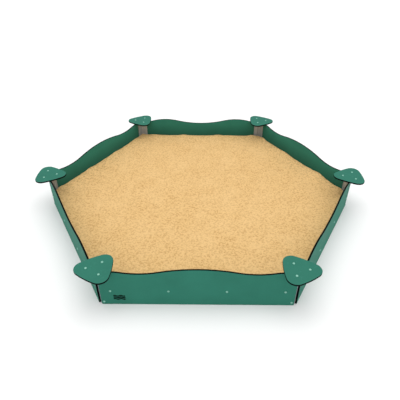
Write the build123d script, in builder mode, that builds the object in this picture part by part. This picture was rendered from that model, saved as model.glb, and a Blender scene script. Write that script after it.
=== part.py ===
from build123d import *
import os
from math import atan, cos, radians, sin, tan

os.makedirs("parts", exist_ok=True)

# Hexagonal sandbox of plastic board, in millimetres. The origin is the centre of the hexagon on the ground,
# +X runs from corner to corner, +Y from the middle of one wall to the middle of the wall opposite.

# Driving dimensions of the walls
ACROSS_FLATS = 2600  # outside of one wall to the outside of the wall opposite
BOARD = 15  # three-layer plastic board, used for walls and seats
WALL_LENGTH = 1467  # the ends stop just short of the corner
EDGE_ROUND = 1.5  # routed edge of every board
SEAT_TOP = 360
SAND_DEPTH = 150
STEEL = 4  # sheet thickness of every bracket and anchor
BEND = 3  # inside radius of every fold in the steel

# Top edge of a wall: three walls rise in the middle, three dip, and each turns the other way near its ends
HUMP_MIDDLE = 369
HUMP_SIDE = 321
DIP_MIDDLE = 318
DIP_SIDE = 368.5
WAVE_SIDE = 436  # from the middle of the wall to the crest or valley beside it
WAVE_END = 636  # from here to the wall's end the top edge is level
MIDDLE_SHARE = 2 / 3  # of WAVE_SIDE, taken up by the curve in the middle

# Bolts through the walls
BOLT_PITCH = 436  # a row of four along the wall
BOLT_ROW = 147  # height of that row
LOW_BOLT_INSET = 20  # from the wall's end
LOW_BOLT_HEIGHT = 30

# Seats: a three-cornered board with one corner pointing at the middle of the sandbox
SEAT_CENTRE = 1473.5  # from the middle of the sandbox
SEAT_CORNER = 68  # radius of a seat's corner
SEAT_REACH = 158  # from the seat's centre to the tip of a corner
SEAT_WAIST = 118  # from the seat's centre to the middle of a side, which bulges a little
SEAT_BOLT_CIRCLE = 71  # radius

# Corner brackets
BRACKET_GAP = 4  # from the inside corner, along each wall, to the fold
BRACKET_LEG = 68  # from the inside corner, along each wall, to the leg's end
PLATE_MARGIN = 20  # steel left round each seat bolt
FOOT_REACH = 78  # of the foot from the inside corner, under the sand
FOOT_WIDTH = 50
GROUND_HOLE = 6.5  # radius, for a 12 mm ground bolt

# Anchors under the sand
ANCHOR_WIDTH = 36
ANCHOR_FOOT = 80
ANCHOR_TOP = 12  # radius of the rounded top, about the bolt

# 8 mm bolts, nuts, washers and the snap-on caps over the heads
BOLT_RADIUS = 4
BOLT_LENGTH = 30
BOLT_HOLE = 4.5
HEAD_RADIUS = 7
HEAD_RIM = 1.2  # straight side of the domed head
HEAD_HEIGHT = 4.4
SOCKET_ACROSS = 5
SOCKET_DEPTH = 2.5
NUT_ACROSS = 13
NUT_HEIGHT = 6.5
NUT_CLEARANCE = 0.1  # between the nut's bore and the bolt
WASHER_RADIUS = 8
WASHER_HEIGHT = 1.6
CAP_RADIUS = 9
CAP_RIM = 1.6
CAP_HEIGHT = 6.6
CAP_WALL = 1.6
CAP_HOLLOW = 7.4  # radius of the room for the bolt's head
CAP_HOLLOW_RIM = 1.9  # straight side of that room

SAND_CLEARANCE = 2  # between the sand's solid and the metal in it

# Worked out from the above
OUTER_FACE = ACROSS_FLATS / 2
INNER_FACE = OUTER_FACE - BOARD
INNER_CORNER = INNER_FACE / cos(radians(30))  # from the middle of the sandbox
WALL_TOP = SEAT_TOP - BOARD - STEEL  # level part of the top edge, under the bracket's plate
PLATE_BOTTOM = WALL_TOP
SEAT_BOTTOM = SEAT_TOP - BOARD
FOOT_TIP = INNER_CORNER - FOOT_REACH
FOOT_HOLE = FOOT_TIP + FOOT_WIDTH / 2
NUT_END = BOLT_LENGTH - BOARD  # how far a wall bolt reaches in from the wall

WALLS = {
    "front": 270,
    "front_right": 330,
    "back_right": 30,
    "back": 90,
    "back_left": 150,
    "front_left": 210,
}
HUMP_WALLS = ("front", "back_right", "back_left")
CORNERS = {
    "right": 0,
    "back_right": 60,
    "back_left": 120,
    "left": 180,
    "front_left": 240,
    "front_right": 300,
}


def wall_plane(angle, distance):
    """Upright plane facing outwards, local x along the wall to the right seen from outside, local y up."""
    a = radians(angle)
    return Plane(
        origin=(distance * cos(a), distance * sin(a), 0),
        x_dir=(-sin(a), cos(a), 0),
        z_dir=(cos(a), sin(a), 0),
    )


def corner_plane(angle, height):
    """Level plane with its origin on the sandbox's axis and local x pointing at a corner."""
    a = radians(angle)
    return Plane(origin=(0, 0, height), x_dir=(cos(a), sin(a), 0), z_dir=(0, 0, 1))


def seat_plane(angle, height):
    """The same, with its origin at the seat's centre."""
    a = radians(angle)
    return Plane(
        origin=(SEAT_CENTRE * cos(a), SEAT_CENTRE * sin(a), height),
        x_dir=(cos(a), sin(a), 0),
        z_dir=(0, 0, 1),
    )


def on_wall(along, inwards):
    """Point in a corner_plane: so far along the inside of a wall from the corner, and so far in from it."""
    return (
        INNER_CORNER - along * cos(radians(60)) - inwards * cos(radians(30)),
        along * sin(radians(60)) - inwards * sin(radians(30)),
    )


def mirrored(point):
    return (point[0], -point[1])


# ---- walls ----


def wave_arcs(middle, side):
    """Half of a wall's top edge, from its middle out to the level stretch, as four tangent arcs.

    Two arcs that meet tangentially between level ends always meet on the straight line between those ends.
    """
    middle_end = (
        WAVE_SIDE * MIDDLE_SHARE,
        middle + (side - middle) * MIDDLE_SHARE,
    )
    turn = 2 * atan(abs(side - middle) / WAVE_SIDE)
    side_radius = WAVE_SIDE * (1 - MIDDLE_SHARE) / sin(turn)
    run = WAVE_END - WAVE_SIDE
    turn_out = 2 * atan(abs(WALL_TOP - side) / run)
    share_out = side_radius * sin(turn_out) / run
    side_end = (WAVE_SIDE + run * share_out, side + (WALL_TOP - side) * share_out)
    TangentArc((0, middle), middle_end, tangent=(1, 0))
    TangentArc((WAVE_SIDE, side), middle_end, tangent=(-1, 0))
    TangentArc((WAVE_SIDE, side), side_end, tangent=(1, 0))
    TangentArc((WAVE_END, WALL_TOP), side_end, tangent=(-1, 0))


low_bolt = WALL_LENGTH / 2 - LOW_BOLT_INSET
row_bolts = [(BOLT_PITCH * (i - 1.5), BOLT_ROW) for i in range(4)]
wall_bolts = row_bolts + [(-low_bolt, LOW_BOLT_HEIGHT), (low_bolt, LOW_BOLT_HEIGHT)]

for name, angle in WALLS.items():
    with BuildPart() as wall:
        with BuildSketch(wall_plane(angle, INNER_FACE)):
            with BuildLine():
                if name in HUMP_WALLS:
                    wave_arcs(HUMP_MIDDLE, HUMP_SIDE)
                else:
                    wave_arcs(DIP_MIDDLE, DIP_SIDE)
                Polyline(
                    (WAVE_END, WALL_TOP),
                    (WALL_LENGTH / 2, WALL_TOP),
                    (WALL_LENGTH / 2, 0),
                    (0, 0),
                )
                mirror(about=Plane.YZ)
            make_face()
            with Locations(*wall_bolts):
                Circle(BOLT_HOLE, mode=Mode.SUBTRACT)
        extrude(amount=BOARD)
        broad_faces = wall.faces().sort_by(SortBy.AREA)[-2:]
        outlines = [face.outer_wire().edges() for face in broad_faces]
        fillet(outlines[0] + outlines[1], EDGE_ROUND)
    wall.part.label = f"panel_{name}"
    export_step(wall.part, f"parts/panel_{name}.step")

# ---- seats ----

corner_out = SEAT_REACH - SEAT_CORNER  # from the seat's centre to the centre of a corner's round
chord_in = corner_out * cos(radians(60))
half_chord = corner_out * sin(radians(60))
side_radius = (half_chord**2 + (SEAT_WAIST - chord_in) ** 2 - SEAT_CORNER**2) / (
    2 * (SEAT_WAIST - chord_in - SEAT_CORNER)
)
side_centre = side_radius - SEAT_WAIST

for name, angle in CORNERS.items():
    with BuildPart() as seat:
        with BuildSketch(seat_plane(angle, SEAT_BOTTOM)) as seat_outline:
            for mode, turn in ((Mode.ADD, 60), (Mode.INTERSECT, 180), (Mode.INTERSECT, 300)):
                away = radians(turn)
                with Locations((side_centre * cos(away), side_centre * sin(away))):
                    Circle(side_radius, mode=mode)
            fillet(seat_outline.vertices(), SEAT_CORNER)
            with PolarLocations(SEAT_BOLT_CIRCLE, 3, start_angle=60):
                Circle(BOLT_HOLE, mode=Mode.SUBTRACT)
        extrude(amount=BOARD)
        broad_faces = seat.faces().sort_by(SortBy.AREA)[-2:]
        outlines = [face.outer_wire().edges() for face in broad_faces]
        fillet(outlines[0] + outlines[1], EDGE_ROUND)
    seat.part.label = f"seat_{name}"
    export_step(seat.part, f"parts/seat_{name}.step")

# ---- corner brackets: a strip bent to the corner, with the seat's plate and the foot welded on ----

fold = on_wall(BRACKET_GAP, 0)
leg_end = on_wall(BRACKET_LEG, 0)
leg_end_inside = on_wall(BRACKET_LEG, STEEL)
fold_inside = (fold[0] - STEEL, fold[1] - STEEL * tan(radians(15)))
foot_back = on_wall(FOOT_WIDTH / 2 / sin(radians(60)), STEEL / 2)

with BuildSketch() as leg_section:
    with BuildLine():
        half_outline = (fold, leg_end, leg_end_inside, fold_inside)
        other_half = [mirrored(point) for point in reversed(half_outline)]
        Polyline(*half_outline, *other_half, close=True)
    make_face()
    for corner, radius in ((fold, BEND + STEEL), (fold_inside, BEND)):
        for point in (corner, mirrored(corner)):
            fillet(leg_section.vertices().sort_by_distance(point)[0], radius)

with BuildSketch() as foot_section:
    with BuildLine():
        Polyline(
            (FOOT_TIP, foot_back[1]),
            foot_back,
            (fold_inside[0], 0),
            mirrored(foot_back),
            (FOOT_TIP, -foot_back[1]),
            close=True,
        )
    make_face()
    with Locations((FOOT_HOLE, 0)):
        Circle(GROUND_HOLE, mode=Mode.SUBTRACT)

for name, angle in CORNERS.items():
    with BuildPart() as bracket:
        with BuildSketch(corner_plane(angle, 0)):
            add(leg_section.sketch)
        extrude(amount=PLATE_BOTTOM)
        with BuildSketch(corner_plane(angle, 0)):
            add(foot_section.sketch)
        extrude(amount=STEEL)
        with BuildSketch(seat_plane(angle, PLATE_BOTTOM)):
            with PolarLocations(SEAT_BOLT_CIRCLE, 3, start_angle=60):
                Circle(PLATE_MARGIN)
            make_hull()
            with PolarLocations(SEAT_BOLT_CIRCLE, 3, start_angle=60):
                Circle(BOLT_HOLE, mode=Mode.SUBTRACT)
        extrude(amount=STEEL)
        for wall_angle, along in ((angle - 30, low_bolt), (angle + 30, -low_bolt)):
            with Locations(wall_plane(wall_angle, INNER_FACE).location):
                with Locations((along, LOW_BOLT_HEIGHT, 0)):
                    Cylinder(BOLT_HOLE, 4 * STEEL, mode=Mode.SUBTRACT)
    bracket.part.label = f"corner_bracket_{name}"
    export_step(bracket.part, f"parts/corner_bracket_{name}.step")

# ---- anchors: a bent strap on each of the four bolts in a wall's row, its foot held down by the sand ----

anchor_top = BOLT_ROW + ANCHOR_TOP
ANCHORS = {
    "far_left": row_bolts[0][0],
    "left": row_bolts[1][0],
    "right": row_bolts[2][0],
    "far_right": row_bolts[3][0],
}


def anchor_plane(wall_angle, along):
    """Upright plane square to the wall, on the strap's centre line: local x into the sandbox, local y up."""
    a = radians(wall_angle)
    out = Vector(cos(a), sin(a), 0)
    beside = Vector(-sin(a), cos(a), 0)
    return Plane(origin=out * INNER_FACE + beside * along, x_dir=-out, z_dir=beside)


for name, angle in WALLS.items():
    for side, along in ANCHORS.items():
        with BuildPart() as anchor:
            with BuildSketch(anchor_plane(angle, along)) as strap:
                with BuildLine():
                    Polyline(
                        (0, 0),
                        (ANCHOR_FOOT, 0),
                        (ANCHOR_FOOT, STEEL),
                        (STEEL, STEEL),
                        (STEEL, anchor_top),
                        (0, anchor_top),
                        close=True,
                    )
                make_face()
                fillet(strap.vertices().sort_by_distance((0, 0))[0], BEND + STEEL)
                fillet(strap.vertices().sort_by_distance((STEEL, STEEL))[0], BEND)
            extrude(amount=ANCHOR_WIDTH / 2, both=True)
            square_to_wall = Axis((0, 0, 0), wall_plane(angle, 0).z_dir)
            upright = anchor.edges().filter_by(square_to_wall)
            fillet(upright.group_by(Axis.Z)[-1], ANCHOR_TOP)
            with Locations(wall_plane(angle, INNER_FACE).location):
                with Locations((along, BOLT_ROW, 0)):
                    Cylinder(BOLT_HOLE, 4 * STEEL, mode=Mode.SUBTRACT)
        anchor.part.label = f"{name}_anchor_{side}"
        export_step(anchor.part, f"parts/{name}_anchor_{side}.step")

# ---- sand: fills the hexagon up to its depth, clear of the brackets' feet, the anchors and their nuts ----

with BuildPart() as sand:
    with BuildSketch():
        RegularPolygon(INNER_FACE, 6, major_radius=False)
        RegularPolygon(
            FOOT_TIP - SAND_CLEARANCE,
            6,
            major_radius=False,
            rotation=30,
            mode=Mode.INTERSECT,
        )
    extrude(amount=SAND_DEPTH)
    for angle in WALLS.values():
        for along in ANCHORS.values():
            with BuildSketch(anchor_plane(angle, along)):
                Rectangle(
                    NUT_END + SAND_CLEARANCE, SAND_DEPTH, align=(Align.MIN, Align.MIN)
                )
                Rectangle(
                    ANCHOR_FOOT + SAND_CLEARANCE,
                    STEEL + SAND_CLEARANCE,
                    align=(Align.MIN, Align.MIN),
                )
            extrude(
                amount=ANCHOR_WIDTH / 2 + SAND_CLEARANCE, both=True, mode=Mode.SUBTRACT
            )
sand.part.label = "sand_fill"
export_step(sand.part, "parts/sand_fill.step")

# ---- fasteners: each is made once, on the z axis with z = 0 at the board's face, and set in every hole ----

with BuildPart() as bolt:
    with BuildSketch(Plane.XZ):
        with BuildLine():
            Polyline(
                (0, HEAD_HEIGHT),
                (0, -BOLT_LENGTH),
                (BOLT_RADIUS, -BOLT_LENGTH),
                (BOLT_RADIUS, 0),
                (HEAD_RADIUS, 0),
                (HEAD_RADIUS, HEAD_RIM),
            )
            TangentArc((0, HEAD_HEIGHT), (HEAD_RADIUS, HEAD_RIM), tangent=(1, 0))
        make_face()
    revolve(axis=Axis.Z)
    with BuildSketch(Plane.XY.offset(HEAD_HEIGHT)):
        RegularPolygon(SOCKET_ACROSS / 2, 6, major_radius=False)
    extrude(amount=-SOCKET_DEPTH, mode=Mode.SUBTRACT)

with BuildPart() as cap:
    with BuildSketch(Plane.XZ):
        with BuildLine():
            Line((0, CAP_HEIGHT), (0, CAP_HEIGHT - CAP_WALL))
            TangentArc(
                (0, CAP_HEIGHT - CAP_WALL), (CAP_HOLLOW, CAP_HOLLOW_RIM), tangent=(1, 0)
            )
            Polyline(
                (CAP_HOLLOW, CAP_HOLLOW_RIM),
                (CAP_HOLLOW, 0),
                (CAP_RADIUS, 0),
                (CAP_RADIUS, CAP_RIM),
            )
            TangentArc((0, CAP_HEIGHT), (CAP_RADIUS, CAP_RIM), tangent=(1, 0))
        make_face()
    revolve(axis=Axis.Z)

with BuildPart() as washer:
    with BuildSketch(Plane.XY.offset(-BOARD - STEEL)):
        Circle(WASHER_RADIUS)
        Circle(BOLT_HOLE, mode=Mode.SUBTRACT)
    extrude(amount=-WASHER_HEIGHT)

with BuildPart() as nut:
    with BuildSketch(Plane.XY.offset(-BOARD - STEEL - WASHER_HEIGHT)):
        RegularPolygon(NUT_ACROSS / 2, 6, major_radius=False)
        Circle(BOLT_RADIUS + NUT_CLEARANCE, mode=Mode.SUBTRACT)
    extrude(amount=-NUT_HEIGHT)

wall_holes = [
    wall_plane(angle, OUTER_FACE).location * Location((along, height, 0))
    for angle in WALLS.values()
    for along, height in wall_bolts
]
seat_holes = [
    seat_plane(angle, SEAT_TOP).location * hole
    for angle in CORNERS.values()
    for hole in PolarLocations(SEAT_BOLT_CIRCLE, 3, start_angle=60)
]

for place, holes in (("panel", wall_holes), ("seat", seat_holes)):
    for kind, piece in (
        ("bolts", bolt),
        ("bolt_caps", cap),
        ("washers", washer),
        ("nuts", nut),
    ):
        with BuildPart() as group:
            with Locations(*holes):
                add(piece.part)
        group.part.label = f"{place}_{kind}"
        export_step(group.part, f"parts/{place}_{kind}.step")
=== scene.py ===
from math import cos, exp, pi, radians, sin

import bmesh
import bpy
from mathutils import Matrix, Vector, noise


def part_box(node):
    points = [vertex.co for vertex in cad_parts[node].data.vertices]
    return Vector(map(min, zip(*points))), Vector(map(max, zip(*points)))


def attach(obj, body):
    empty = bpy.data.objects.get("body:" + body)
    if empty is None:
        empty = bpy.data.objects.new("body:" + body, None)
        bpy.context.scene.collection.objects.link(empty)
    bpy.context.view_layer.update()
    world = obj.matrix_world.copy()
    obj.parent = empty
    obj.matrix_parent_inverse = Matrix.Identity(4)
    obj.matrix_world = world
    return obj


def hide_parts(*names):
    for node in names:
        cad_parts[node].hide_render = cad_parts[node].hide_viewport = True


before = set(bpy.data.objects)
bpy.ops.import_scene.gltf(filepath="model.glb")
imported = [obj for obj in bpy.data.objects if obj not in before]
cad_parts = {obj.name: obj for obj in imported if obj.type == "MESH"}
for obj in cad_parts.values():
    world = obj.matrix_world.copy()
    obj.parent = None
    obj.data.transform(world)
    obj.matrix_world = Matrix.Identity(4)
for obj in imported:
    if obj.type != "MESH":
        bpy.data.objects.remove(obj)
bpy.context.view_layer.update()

# ---- Walls ----
# Six walls cut by router from one thickness of polyethylene sheet, green on both sides and black inside.
# Every cut edge is rounded and shows as a black line. The front wall has a small sign routed into it.

WALLS = ("front", "front_right", "back_right", "back", "back_left", "front_left")
SHEET = 0.015
SKIN = 0.0004  # green left on each side where an edge is rounded
WELD = 0.000002  # points nearer than this are one
CREASE = radians(35)  # edges sharper than this stay sharp

GREEN = (0.031, 0.178, 0.126, 1)
GREEN_DEEP = (0.027, 0.158, 0.111, 1)
GREEN_WORN = (0.055, 0.250, 0.185, 1)
SKIN_PEBBLES = 420.0  # scales of the noises are in cells per metre
SKIN_PATCHES = 5.0
SKIN_RELIEF = 0.00025
SKIN_ROUGHNESS = (0.52, 0.62)
SKIN_GLOSS = 0.05
WORN_EDGE = (1.0, 0.86)  # depths from the broad face to where the rounding is worn most
EDGE_BREAKS = 24.0
SCRATCH_STRETCH = (6, 6, 90)
SCRATCH_SCALE = 7.0
SCRATCHED = (0.60, 0.74, 0.0, 0.25)

# Painted shade: the inside faces of the walls are darkened towards the sand, where shade falls between walls
# and sand.
SHADE_GREEN = (0.006, 0.030, 0.020, 1)
SHADE_TOP = 0.310  # height at which the painted shade on the inside faces begins
SHADE_FOOT = 0.150  # and where they are darkest, at the sand
SHADE_SHARE = 0.6
INNER_FACE = (-0.8, -1.0)  # depths over which the rounded edge gives way to the inside face

CORE_BLACK = (0.0015, 0.0025, 0.0020, 1)
CORE_SCUFFED = (0.005, 0.008, 0.007, 1)
CORE_LINES = 700.0
CORE_PEBBLES = 900.0
CORE_PATCHES = 18.0
CORE_DUST = (0.5, 1.0, 0.0, 0.35)
CORE_ROUGHNESS = (0.55, 0.72)
CORE_GLOSS = 0.03
CORE_RELIEF = 0.00020

MIDDLE = (0.3, 0.7)  # the part of a noise's range that holds nearly all of it


def add(tree, kind, inputs=None, **settings):
    """Puts a node in a tree. An input is a plain value or another node's output socket."""
    made = tree.nodes.new(kind)
    for key, value in settings.items():
        setattr(made, key, value)
    for key, value in (inputs or {}).items():
        if isinstance(value, bpy.types.NodeSocket):
            tree.links.new(value, made.inputs[key])
        else:
            made.inputs[key].default_value = value
    return made


def blend_colours(tree, factor, first, second):
    """A colour between first and second."""
    inputs = {"Factor": factor, 6: first, 7: second}
    return add(tree, "ShaderNodeMix", inputs, data_type="RGBA").outputs[2]


def ramp(tree, value, low, high, out_low=0.0, out_high=1.0):
    """A value stretched from low..high to out_low..out_high, and held at the ends."""
    inputs = {0: value, 1: low, 2: high, 3: out_low, 4: out_high}
    return add(tree, "ShaderNodeMapRange", inputs).outputs[0]


def compute(tree, operation, *values):
    """Values added, multiplied or made positive: ADD, MULTIPLY or ABSOLUTE."""
    return add(tree, "ShaderNodeMath", dict(enumerate(values)), operation=operation).outputs[0]


def noise_at(tree, place, scale, **settings):
    """Soft noise, between 0 and 1."""
    inputs = {"Vector": place, "Scale": scale, **settings}
    return add(tree, "ShaderNodeTexNoise", inputs).outputs["Fac"]


def stretched(tree, place, scale):
    """Coordinates stretched by a different amount each way."""
    return add(tree, "ShaderNodeMapping", {"Vector": place, "Scale": scale}).outputs[0]


def attribute(tree, name):
    """A value that the mesh holds at each point."""
    return add(tree, "ShaderNodeAttribute", attribute_name=name).outputs["Fac"]


def height_of(tree, place):
    """Height above the ground."""
    return add(tree, "ShaderNodeSeparateXYZ", {0: place}).outputs["Z"]


def new_material(name):
    """An empty material, with its tree and the piece's own coordinates."""
    material = bpy.data.materials.new(name)
    material.use_nodes = True
    tree = material.node_tree
    tree.nodes.clear()
    place = add(tree, "ShaderNodeTexCoord").outputs["Object"]
    return material, tree, place


def finish_material(tree, surface, height, relief):
    """Joins a surface's sockets and its relief, in metres, to the material's output."""
    bump = add(tree, "ShaderNodeBump", {"Height": height, "Distance": relief, "Strength": 1.0})
    shader = add(tree, "ShaderNodeBsdfPrincipled", surface)
    tree.links.new(bump.outputs["Normal"], shader.inputs["Normal"])
    add(tree, "ShaderNodeOutputMaterial", {"Surface": shader.outputs["BSDF"]})


def new_group(name, inputs, outputs):
    """An empty node group. Its first input, Place, is a vector, and every other socket is a float."""
    group = bpy.data.node_groups.new(name, "ShaderNodeTree")
    group.interface.new_socket("Place", in_out="INPUT", socket_type="NodeSocketVector")
    for socket in inputs:
        group.interface.new_socket(socket, in_out="INPUT", socket_type="NodeSocketFloat")
    for socket in outputs:
        group.interface.new_socket(socket, in_out="OUTPUT", socket_type="NodeSocketFloat")
    return group, add(group, "NodeGroupInput").outputs


def use_group(tree, group, inputs):
    """The outputs of a group put in a tree."""
    return add(tree, "ShaderNodeGroup", inputs, node_tree=group).outputs


# Pressed grain: the fine pebbling that a press leaves on plastic, and slow patches where it has faded.
FADING = (0.32, 0.68)

pressed_grain, given = new_group("pressed_grain", ("Grain", "Blotches"), ("Height", "Fading"))
pebbles = noise_at(pressed_grain, given["Place"], given["Grain"], Detail=2.0)
patches = noise_at(pressed_grain, given["Place"], given["Blotches"], Detail=4.0)
fading = ramp(pressed_grain, patches, *FADING)
add(pressed_grain, "NodeGroupOutput", {"Height": pebbles, "Fading": fading})

# Worn edge: where hands and feet have rubbed a rounded edge pale, broken up along its length.
RUBBING = (0.38, 0.66)

worn_edge, given = new_group("worn_edge", ("Edge", "Scale"), ("Worn",))
breaks = noise_at(worn_edge, given["Place"], given["Scale"], Detail=5.0)
rubbed = compute(worn_edge, "MULTIPLY", given["Edge"], ramp(worn_edge, breaks, *RUBBING))
add(worn_edge, "NodeGroupOutput", {"Worn": rubbed})


def skin_material(name, colour, deep, worn, shade_share):
    """Green polyethylene skin. The mesh's depth attribute is 1 on the outer face, -1 on the inner one, and
    nears 0 over a rounded edge. The inner face is painted darker towards the sand, as shade, by the share
    given.
    """
    material, tree, place = new_material(name)
    inputs = {"Place": place, "Grain": SKIN_PEBBLES, "Blotches": SKIN_PATCHES}
    grain = use_group(tree, pressed_grain, inputs)
    depth = attribute(tree, "depth")
    edge = ramp(tree, compute(tree, "ABSOLUTE", depth), *WORN_EDGE)
    rubbed = use_group(tree, worn_edge, {"Place": place, "Edge": edge, "Scale": EDGE_BREAKS})["Worn"]
    faded = blend_colours(tree, grain["Fading"], deep, colour)
    scratches = noise_at(tree, stretched(tree, place, SCRATCH_STRETCH), SCRATCH_SCALE, Detail=3.0)
    scuffed = blend_colours(tree, ramp(tree, scratches, *SCRATCHED), faded, worn)
    clean = blend_colours(tree, rubbed, scuffed, worn)
    # Painted shade: the inside face is darkened towards the sand.
    near_sand = ramp(tree, height_of(tree, place), SHADE_TOP, SHADE_FOOT)
    painted_shade = compute(tree, "MULTIPLY", near_sand, ramp(tree, depth, *INNER_FACE))
    painted_shade = ramp(tree, painted_shade, 0.0, 1.0, 0.0, shade_share)
    surface = {
        "Base Color": blend_colours(tree, painted_shade, clean, SHADE_GREEN),
        "Roughness": ramp(tree, grain["Fading"], 0.0, 1.0, *SKIN_ROUGHNESS),
        "Specular IOR Level": SKIN_GLOSS,
    }
    finish_material(tree, surface, grain["Height"], SKIN_RELIEF)
    return material


wall_skin = skin_material("wall_green_skin", GREEN, GREEN_DEEP, GREEN_WORN, SHADE_SHARE)

# Milled core: the router leaves fine lines straight through the sheet. The board map leaves out depth, so
# lines on it run that way.
milled_core, tree, place = new_material("milled_black_core")
along_edge = add(tree, "ShaderNodeUVMap", uv_map="board").outputs["UV"]
cuts = noise_at(tree, along_edge, CORE_LINES, Detail=1.0)
dust = use_group(tree, pressed_grain, {"Place": place, "Grain": CORE_PEBBLES, "Blotches": CORE_PATCHES})
surface = {
    "Base Color": blend_colours(tree, ramp(tree, dust["Fading"], *CORE_DUST), CORE_BLACK, CORE_SCUFFED),
    "Roughness": ramp(tree, cuts, *MIDDLE, *CORE_ROUGHNESS),
    "Specular IOR Level": CORE_GLOSS,
}
finish_material(tree, surface, cuts, CORE_RELIEF)


def welded_copy(node):
    """A CAD node's mesh with its triangles joined up."""
    bm = bmesh.new()
    bm.from_mesh(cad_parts[node].data)
    bmesh.ops.remove_doubles(bm, verts=bm.verts, dist=WELD)
    return bm


def bisect_all(bm, point, normal, **settings):
    """Cuts the whole mesh by a plane."""
    everything = bm.verts[:] + bm.edges[:] + bm.faces[:]
    bmesh.ops.bisect_plane(bm, geom=everything, dist=WELD, plane_co=point, plane_no=normal, **settings)


def split_sheet(bm, middle, through, along, up):
    """Parts the black core from the skins. The vectors are the sheet's middle and its three directions."""
    core = SHEET / 2 - SKIN
    for side in (-core, core):
        bisect_all(bm, middle + through * side, through)
    depth = bm.verts.layers.float.new("depth")
    board_map = bm.loops.layers.uv.new("board")
    for vert in bm.verts:
        vert[depth] = (vert.co - middle).dot(through) / (SHEET / 2)
    for face in bm.faces:
        inside = abs((face.calc_center_median() - middle).dot(through))
        face.material_index = 1 if inside < core else 0
        for loop in face.loops:
            spot = loop.vert.co - middle
            loop[board_map].uv = (spot.dot(along), spot.dot(up))


def link_mesh(name, bm, *materials):
    """Makes a bmesh an object, smooth except at its creases."""
    mesh = bpy.data.meshes.new(name)
    bm.to_mesh(mesh)
    bm.free()
    mesh.shade_smooth()
    mesh.set_sharp_from_angle(angle=CREASE)
    for material in materials:
        mesh.materials.append(material)
    piece = bpy.data.objects.new(name, mesh)
    bpy.context.scene.collection.objects.link(piece)
    return piece


def even_shading(piece):
    """Keeps the broad faces flat, so that only the rounded edges take the curve's shading."""
    flat_first = piece.modifiers.new("flat_first", "WEIGHTED_NORMAL")
    flat_first.keep_sharp = True


# The sign near one end of the front wall: three wavy grooves, one above another, cut through the skin.
SIGN_AT = Vector((-0.592, 0, 0.077))
SIGN_LENGTH = 0.092
SIGN_GROOVE = 0.0135
SIGN_PITCH = 0.0175
SIGN_WAVE = 0.0040
SIGN_DEPTH = 0.0026
SIGN_STEPS = 28
SIGN_END = 0.35  # share of a groove's width that its rounded end starts with


def wave_cutter(height):
    """One groove's cutter: a wavy strip with rounded ends, standing out of the wall's face."""
    bm = bmesh.new()
    bmesh.ops.create_grid(bm, x_segments=SIGN_STEPS, y_segments=1, size=0.5)
    swept = bmesh.ops.extrude_face_region(bm, geom=bm.faces[:])
    lifted = [part for part in swept["geom"] if isinstance(part, bmesh.types.BMVert)]
    bmesh.ops.translate(bm, vec=(0, 0, 1), verts=lifted)
    face_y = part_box("panel_front")[0].y
    for vert in bm.verts:
        run, across, out = vert.co
        from_end = (0.5 - abs(run)) * SIGN_LENGTH
        taper = min(1.0, (from_end / (SIGN_GROOVE / 2)) ** 0.5 + SIGN_END)
        vert.co = (
            SIGN_AT.x + run * SIGN_LENGTH,
            face_y + SIGN_DEPTH - out * 2 * SIGN_DEPTH,
            height + across * SIGN_GROOVE * taper + SIGN_WAVE * sin(4 * pi * run),
        )
    bmesh.ops.recalc_face_normals(bm, faces=bm.faces)
    return bm


def carved(bm, cutters):
    """The mesh with each cutter's shape taken out of it."""
    blank = link_mesh("blank", bm)
    tools = [link_mesh("tool", cutter) for cutter in cutters]
    for tool in tools:
        cut = blank.modifiers.new("cut", "BOOLEAN")
        cut.operation = "DIFFERENCE"
        cut.solver = "EXACT"
        cut.object = tool
    worked = blank.evaluated_get(bpy.context.evaluated_depsgraph_get())
    result = bmesh.new()
    result.from_mesh(worked.to_mesh())
    worked.to_mesh_clear()
    for spent in [blank] + tools:
        spare = spent.data
        bpy.data.objects.remove(spent)
        bpy.data.meshes.remove(spare)
    return result


for wall in WALLS:
    node = f"panel_{wall}"
    low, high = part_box(node)
    centre = (low + high) / 2
    through = Vector((centre.x, centre.y, 0)).normalized()
    along = Vector((-through.y, through.x, 0))
    bm = welded_copy(node)
    if wall == "front":
        heights = [SIGN_AT.z + row * SIGN_PITCH for row in (-1, 0, 1)]
        bm = carved(bm, [wave_cutter(height) for height in heights])
    split_sheet(bm, centre, through, along, Vector((0, 0, 1)))
    piece = link_mesh(f"wall_{wall}", bm, wall_skin, milled_core)
    even_shading(piece)
    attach(piece, "root")
    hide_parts(node)

# ---- Seats ----
# A rounded three-cornered board over each corner, routed from the same sheet and rounded all round.
# Each is held by three bolts to the plate on top of the corner bracket.

CORNERS = ("right", "back_right", "back_left", "left", "front_left", "front_right")
# Painted shade: the seats' green is a little darker than the walls', to offset the light their top faces
# take; the sheet is the same.
SEAT_GREEN_SHADED = (0.027, 0.146, 0.103, 1)
SEAT_DEEP_SHADED = (0.024, 0.132, 0.094, 1)
SEAT_WORN_SHADED = (0.050, 0.225, 0.165, 1)

shaded_seat_skin = skin_material("seat_green_skin_shaded", SEAT_GREEN_SHADED, SEAT_DEEP_SHADED, SEAT_WORN_SHADED, 0.0)

for corner in CORNERS:
    node = f"seat_{corner}"
    low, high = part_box(node)
    bm = welded_copy(node)
    split_sheet(bm, (low + high) / 2, Vector((0, 0, 1)), Vector((1, 0, 0)), Vector((0, 1, 0)))
    piece = link_mesh(f"corner_seat_{corner}", bm, shaded_seat_skin, milled_core)
    even_shading(piece)
    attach(piece, "root")
    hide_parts(node)

# ---- Corner brackets ----
# A steel strip bent to the corner and standing inside it, bolted low down to both walls, with a plate
# welded on top for the seat and a foot below for a ground bolt. Its rolling grain runs up the legs.

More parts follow.
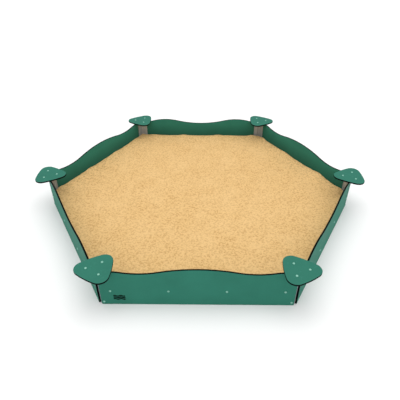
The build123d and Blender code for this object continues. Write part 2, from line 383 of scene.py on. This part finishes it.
STEEL_PALE = (0.47, 0.51, 0.55, 1)
STEEL_DARK = (0.25, 0.27, 0.29, 1)
STEEL_SHADED = (0.12, 0.14, 0.15, 1)
STEEL_LINES = 130.0
STEEL_STRETCH = 0.02
STEEL_SMEARED = 0.4
STEEL_SHADE_TOP = 0.250  # height at which the painted shade towards the sand begins
STEEL_SHADE_SHARE = 0.6
STEEL_METALLIC = 0.35  # less than bare steel, for its dull grey film
STEEL_ROUGHNESS = (0.40, 0.56)
STEEL_RELIEF = 0.00012

# Drawn grain: fine lines from rolling, longer one way than the other as Stretch says.
SMEAR_SCALE = 14.0
SMEARS = (0.35, 0.65)

drawn_grain, given = new_group("drawn_grain", ("Scale", "Stretch"), ("Lines", "Smears"))
squeezed = add(drawn_grain, "ShaderNodeCombineXYZ", {"X": 1.0, "Y": 1.0, "Z": given["Stretch"]}).outputs[0]
inputs = {0: given["Place"], 1: squeezed}
drawn_out = add(drawn_grain, "ShaderNodeVectorMath", inputs, operation="MULTIPLY").outputs[0]
lines = noise_at(drawn_grain, drawn_out, given["Scale"], Detail=3.0)
smears = noise_at(drawn_grain, given["Place"], SMEAR_SCALE, Detail=4.0)
add(
    drawn_grain,
    "NodeGroupOutput",
    {"Lines": ramp(drawn_grain, lines, *MIDDLE), "Smears": ramp(drawn_grain, smears, *SMEARS)},
)

bracket_steel, tree, place = new_material("rolled_bracket_steel")
grain = use_group(tree, drawn_grain, {"Place": place, "Scale": STEEL_LINES, "Stretch": STEEL_STRETCH})
rolled = blend_colours(tree, grain["Lines"], STEEL_DARK, STEEL_PALE)
smeared = ramp(tree, grain["Smears"], 0.0, 1.0, 0.0, STEEL_SMEARED)
smeared = blend_colours(tree, smeared, rolled, STEEL_DARK)
# Painted shade: the bracket is darkened towards the sand.
steel_shade = ramp(tree, height_of(tree, place), STEEL_SHADE_TOP, SHADE_FOOT, 0.0, STEEL_SHADE_SHARE)
surface = {
    "Base Color": blend_colours(tree, steel_shade, smeared, STEEL_SHADED),
    "Metallic": STEEL_METALLIC,
    "Roughness": ramp(tree, grain["Smears"], 0.0, 1.0, *STEEL_ROUGHNESS),
}
finish_material(tree, surface, grain["Lines"], STEEL_RELIEF)


def refinish(node, material):
    """Gives a CAD node a better material and leaves its shape alone."""
    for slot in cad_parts[node].material_slots:
        slot.material = material


for corner in CORNERS:
    refinish(f"corner_bracket_{corner}", bracket_steel)

# ---- Ground anchors ----
# Bent steel straps, one on each bolt of a wall's row, that turn in under the sand, whose weight holds them.
# They are hot-dip galvanised, which leaves pale spangles.

ANCHOR_SIDES = ("far_left", "left", "right", "far_right")
ZINC_PALE = (0.50, 0.52, 0.53, 1)
ZINC_DARK = (0.30, 0.32, 0.33, 1)
ZINC_WOBBLE = 90.0
ZINC_SPANGLES = 140.0
ZINC_METALLIC = 0.85
ZINC_ROUGHNESS = (0.42, 0.60)
ZINC_RELIEF = 0.00015

galvanised, tree, place = new_material("galvanised_strip")
wobble = noise_at(tree, place, ZINC_WOBBLE, Detail=2.0)
inputs = {"Vector": place, "Scale": ZINC_SPANGLES, "Randomness": 1.0}
spangles = add(tree, "ShaderNodeTexVoronoi", inputs).outputs
flake = add(tree, "ShaderNodeSeparateColor", {0: spangles["Color"]}).outputs[0]
surface = {
    "Base Color": blend_colours(tree, flake, ZINC_DARK, ZINC_PALE),
    "Metallic": ZINC_METALLIC,
    "Roughness": ramp(tree, wobble, *MIDDLE, *ZINC_ROUGHNESS),
}
finish_material(tree, surface, spangles["Distance"], ZINC_RELIEF)

for wall in WALLS:
    for side in ANCHOR_SIDES:
        refinish(f"{wall}_anchor_{side}", galvanised)

# ---- Bolts, washers and nuts ----
# Stainless button-head bolts through the boards, with a washer and a nut behind the steel. They are turned
# parts, so the grain is fine and even.

STAINLESS = (0.60, 0.59, 0.57, 1)
STAINLESS_DULL = (0.42, 0.41, 0.40, 1)
STAINLESS_LINES = 900.0
STAINLESS_ROUGHNESS = (0.24, 0.40)
STAINLESS_RELIEF = 0.00005
BOLTED = ("panel", "seat")

stainless, tree, place = new_material("stainless_fasteners")
grain = use_group(tree, drawn_grain, {"Place": place, "Scale": STAINLESS_LINES, "Stretch": 1.0})
surface = {
    "Base Color": blend_colours(tree, grain["Smears"], STAINLESS, STAINLESS_DULL),
    "Metallic": 1.0,
    "Roughness": ramp(tree, grain["Lines"], 0.0, 1.0, *STAINLESS_ROUGHNESS),
}
finish_material(tree, surface, grain["Lines"], STAINLESS_RELIEF)

for board in BOLTED:
    for kind in ("bolts", "washers", "nuts"):
        refinish(f"{board}_{kind}", stainless)

# ---- Bolt caps ----
# Light green moulded domes that snap over the bolt heads, on the outside of the walls and on the seats.
# The plastic is smooth, with only a faint pebbling.

CAP_GREEN = (0.15, 0.39, 0.30, 1)
CAP_FADED = (0.20, 0.45, 0.36, 1)
CAP_PEBBLES = 1500.0
CAP_PATCHES = 30.0
CAP_ROUGHNESS = (0.22, 0.34)
CAP_GLOSS = 0.5
CAP_RELIEF = 0.00004

cap_plastic, tree, place = new_material("moulded_cap_plastic")
grain = use_group(tree, pressed_grain, {"Place": place, "Grain": CAP_PEBBLES, "Blotches": CAP_PATCHES})
surface = {
    "Base Color": blend_colours(tree, grain["Fading"], CAP_GREEN, CAP_FADED),
    "Roughness": ramp(tree, grain["Height"], *MIDDLE, *CAP_ROUGHNESS),
    "Specular IOR Level": CAP_GLOSS,
}
finish_material(tree, surface, grain["Height"], CAP_RELIEF)

for board in BOLTED:
    refinish(f"{board}_bolt_caps", cap_plastic)

# ---- Sand ----
# Loose golden play sand, raked level by hand and banked a little against the walls, where it covers the
# anchors and the nuts. One heap is left against a back wall, and the sand is raised in one back corner.

SAND_LEVEL = 0.150
SAND_INSIDE = 1.285  # from the middle of the sandbox to the walls
SAND_CORNER = 1.4798  # from the middle to the bend of each corner bracket
SAND_HALVINGS = 7
SWELLS = 3.2
SWELL_HEIGHT = 0.0045
SWELL_FRACTAL = (1.0, 2.0, 3)  # dimension, lacunarity and octaves
HOLLOWS = 22.0
HOLLOW_HEIGHT = 0.0018
HOLLOW_FRACTAL = (0.9, 2.1, 3)
WALL_DIRECTIONS = range(30, 390, 60)  # in degrees
CORNER_DIRECTIONS = range(0, 360, 60)
BANK_HEIGHT = 0.002
BANK_REACH = 0.060
HEAP_WALL = 30  # direction of the wall that the heap lies against
HEAP_ALONG = -0.330  # its place along that wall
HEAP_HEIGHT = 0.024
HEAP_SPREAD = 0.110
CORNER_RISE = {60: -0.007, 120: 0.020}  # how much the sand is raised in a corner, by the corner's direction
CORNER_SPREAD = 0.210
NUT_ALONG = (-0.654, -0.218, 0.218, 0.654)  # places of a wall's bolts along it
NUT_COVER = 0.1605  # height of the sand over them
NUT_SPREAD = 0.050

SAND_GOLD = (0.635, 0.410, 0.172, 1)
SAND_PALE = (0.76, 0.53, 0.26, 1)
SAND_SHADE = (0.43, 0.245, 0.080, 1)
SAND_LIT = (0.80, 0.52, 0.225, 1)
LIT_WALLS = (30, 90, 150)  # painted light: the sand is paler along the three back walls, against the shade the walls cast on it
LIT_REACH = 0.13
SAND_FLATTENING = (1, 1, 0.3)
CLUMPS = 60.0
CLUMPED = (0.34, 0.56)
DRIFTS = 5.0
DRIFTED = (0.35, 0.75, 0.0, 0.25)
GRAINS = 380.0
PALE_GRAINS = (0.55, 1.0, 0.0, 0.5)
SPECKS = 85.0
DARK_SPECKS = (0.66, 0.74, 0.0, 0.6)
LUMP_SHARE = 3.0  # how much more the lumps stand out than the grains
SAND_ROUGHNESS = (0.85, 1.0)
SAND_GLOSS = 0.2
SAND_RELIEF = 0.0016


def outwards(degrees):
    """A level direction from the middle of the sandbox."""
    return Vector((cos(radians(degrees)), sin(radians(degrees)), 0))


def gap_and_run(spot, degrees):
    """How far a place is from a wall's inside, and how far along the wall from its middle."""
    out = outwards(degrees)
    return SAND_INSIDE - spot.dot(out), spot.dot(Vector((-out.y, out.x, 0)))


def sand_height(x, y):
    """The height of the sand's surface: swells, small hollows, banks, the heap, the corners and the nuts."""
    spot = Vector((x, y, 0))
    swell = noise.fractal(spot * SWELLS, *SWELL_FRACTAL) * SWELL_HEIGHT
    hollows = noise.fractal(spot * HOLLOWS, *HOLLOW_FRACTAL) * HOLLOW_HEIGHT
    height = SAND_LEVEL + swell + hollows
    for degrees in WALL_DIRECTIONS:
        gap, run = gap_and_run(spot, degrees)
        height += BANK_HEIGHT * exp(-((gap / BANK_REACH) ** 2))
        if degrees == HEAP_WALL:
            apart = ((run - HEAP_ALONG) / HEAP_SPREAD) ** 2 + (gap / HEAP_SPREAD) ** 2
            height += HEAP_HEIGHT * exp(-apart)
    for degrees, rise in CORNER_RISE.items():
        apart = spot - outwards(degrees) * SAND_CORNER
        height += rise * exp(-apart.length_squared / CORNER_SPREAD**2)
    for degrees in WALL_DIRECTIONS:
        gap, run = gap_and_run(spot, degrees)
        for nut in NUT_ALONG:
            near = exp(-((run - nut) ** 2 + gap**2) / NUT_SPREAD**2)
            height += (NUT_COVER + hollows - height) * near
    return height


bm = bmesh.new()
bmesh.ops.create_circle(bm, cap_ends=True, segments=6, radius=SAND_INSIDE / cos(radians(30)))
bmesh.ops.rotate(bm, verts=bm.verts, cent=(0, 0, 0), matrix=Matrix.Rotation(radians(30), 3, "Z"))
bmesh.ops.poke(bm, faces=bm.faces[:])
for halving in range(SAND_HALVINGS):
    bmesh.ops.subdivide_edges(bm, edges=bm.edges[:], cuts=1, use_grid_fill=True)
for degrees in CORNER_DIRECTIONS:
    bisect_all(bm, outwards(degrees) * SAND_CORNER, outwards(degrees), clear_outer=True)
# Painted light: the sand is made paler near the three back walls, to even out the shade beside them.
painted_wall_light = bm.verts.layers.float.new("painted_wall_light")
for vert in bm.verts:
    gap = min(gap_and_run(vert.co, degrees)[0] for degrees in LIT_WALLS)
    vert[painted_wall_light] = exp(-((gap / LIT_REACH) ** 2))
    vert.co.z = sand_height(vert.co.x, vert.co.y)

# The sides and the bottom, so that the sand is one closed body.
rim = [edge for edge in bm.edges if edge.is_boundary]
skirt = bmesh.ops.extrude_edge_only(bm, edges=rim)["geom"]
for part in skirt:
    if isinstance(part, bmesh.types.BMVert):
        part.co.z = 0
foot = [part for part in skirt if isinstance(part, bmesh.types.BMEdge) and part.is_boundary]
bmesh.ops.edgeloop_fill(bm, edges=foot)
bmesh.ops.recalc_face_normals(bm, faces=bm.faces)

play_sand, tree, place = new_material("golden_play_sand")
flat_place = stretched(tree, place, SAND_FLATTENING)
clumps = noise_at(tree, flat_place, CLUMPS, Detail=3.0, Roughness=0.6)
drifts = noise_at(tree, flat_place, DRIFTS, Detail=2.0)
specks = noise_at(tree, flat_place, SPECKS, Detail=2.0)
grains = add(tree, "ShaderNodeTexVoronoi", {"Vector": place, "Scale": GRAINS}).outputs
grain_tone = add(tree, "ShaderNodeSeparateColor", {0: grains["Color"]}).outputs[0]
# Painted light near the back walls.
sand_colour = blend_colours(tree, attribute(tree, "painted_wall_light"), SAND_GOLD, SAND_LIT)
sand_colour = blend_colours(tree, ramp(tree, clumps, *CLUMPED), SAND_SHADE, sand_colour)
sand_colour = blend_colours(tree, ramp(tree, drifts, *DRIFTED), sand_colour, SAND_PALE)
sand_colour = blend_colours(tree, ramp(tree, grain_tone, *PALE_GRAINS), sand_colour, SAND_PALE)
sand_colour = blend_colours(tree, ramp(tree, specks, *DARK_SPECKS), sand_colour, SAND_SHADE)
lumps = compute(tree, "MULTIPLY", clumps, LUMP_SHARE)
surface = {
    "Base Color": sand_colour,
    "Roughness": ramp(tree, grain_tone, 0.0, 1.0, *SAND_ROUGHNESS),
    "Specular IOR Level": SAND_GLOSS,
}
finish_material(tree, surface, compute(tree, "ADD", lumps, grains["Distance"]), SAND_RELIEF)

piece = link_mesh("loose_sand", bm, play_sand)
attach(piece, "root")
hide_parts("sand_fill")

# ---- Floor, light and camera ----
# A plain white floor under a white sky that is brighter overhead, a broad soft lamp above the sandbox,
# and the camera in front of the front wall, looking down.

FLOOR_SIZE = 60
FLOOR_WHITE = (0.79, 0.79, 0.79, 1)
FLOOR_MOTTLE = 3.0
FLOOR_ROUGHNESS = (0.75, 0.85)
SKY_WHITE = (1, 1, 1, 1)
SKY_LOW = 0.73  # strength of the sky's light from the horizon
SKY_HIGH = 1.63  # strength of its light from overhead
SKY_SEEN = 1.0  # strength of the even backdrop that the camera sees
LAMP_AT = (0.2, -0.5, 5.0)
LAMP_SIZE = 4.0
LAMP_POWER = 50
CAMERA_AT = (0.0363, -3.3072, 2.4205)
CAMERA_TURN = (radians(54.45), 0, radians(0.545))
CAMERA_SENSOR = 36
CAMERA_LENS = 35.70
CAMERA_REACH = 200

bm = bmesh.new()
bmesh.ops.create_grid(bm, x_segments=1, y_segments=1, size=FLOOR_SIZE / 2)
floor_paint, tree, place = new_material("plain_floor")
mottle = noise_at(tree, place, FLOOR_MOTTLE, Detail=2.0)
surface = {"Base Color": FLOOR_WHITE, "Roughness": ramp(tree, mottle, 0.0, 1.0, *FLOOR_ROUGHNESS)}
finish_material(tree, surface, mottle, 0.0)
floor = link_mesh("floor", bm, floor_paint)

sky = bpy.data.worlds.new("white_sky")
sky.use_nodes = True
tree = sky.node_tree
direction = add(tree, "ShaderNodeTexCoord").outputs["Generated"]
glow = ramp(tree, height_of(tree, direction), 0.0, 1.0, SKY_LOW, SKY_HIGH)
seen = add(tree, "ShaderNodeLightPath").outputs["Is Camera Ray"]
background = tree.nodes["Background"].inputs
background["Color"].default_value = SKY_WHITE
tree.links.new(ramp(tree, seen, 0.0, 1.0, glow, SKY_SEEN), background["Strength"])
bpy.context.scene.world = sky

lamp = bpy.data.lights.new("overhead", "AREA")
lamp.shape = "DISK"
lamp.size = LAMP_SIZE
lamp.energy = LAMP_POWER
lamp_holder = bpy.data.objects.new("overhead", lamp)
lamp_holder.location = LAMP_AT
lamp_holder.rotation_euler = (-Vector(LAMP_AT)).to_track_quat("-Z", "Y").to_euler()
bpy.context.scene.collection.objects.link(lamp_holder)

lens = bpy.data.cameras.new("camera")
lens.sensor_width = CAMERA_SENSOR
lens.lens = CAMERA_LENS
lens.clip_end = CAMERA_REACH
camera = bpy.data.objects.new("camera", lens)
camera.location = CAMERA_AT
camera.rotation_euler = CAMERA_TURN
bpy.context.scene.collection.objects.link(camera)
bpy.context.scene.camera = camera
bpy.context.scene.view_settings.view_transform = "Standard"
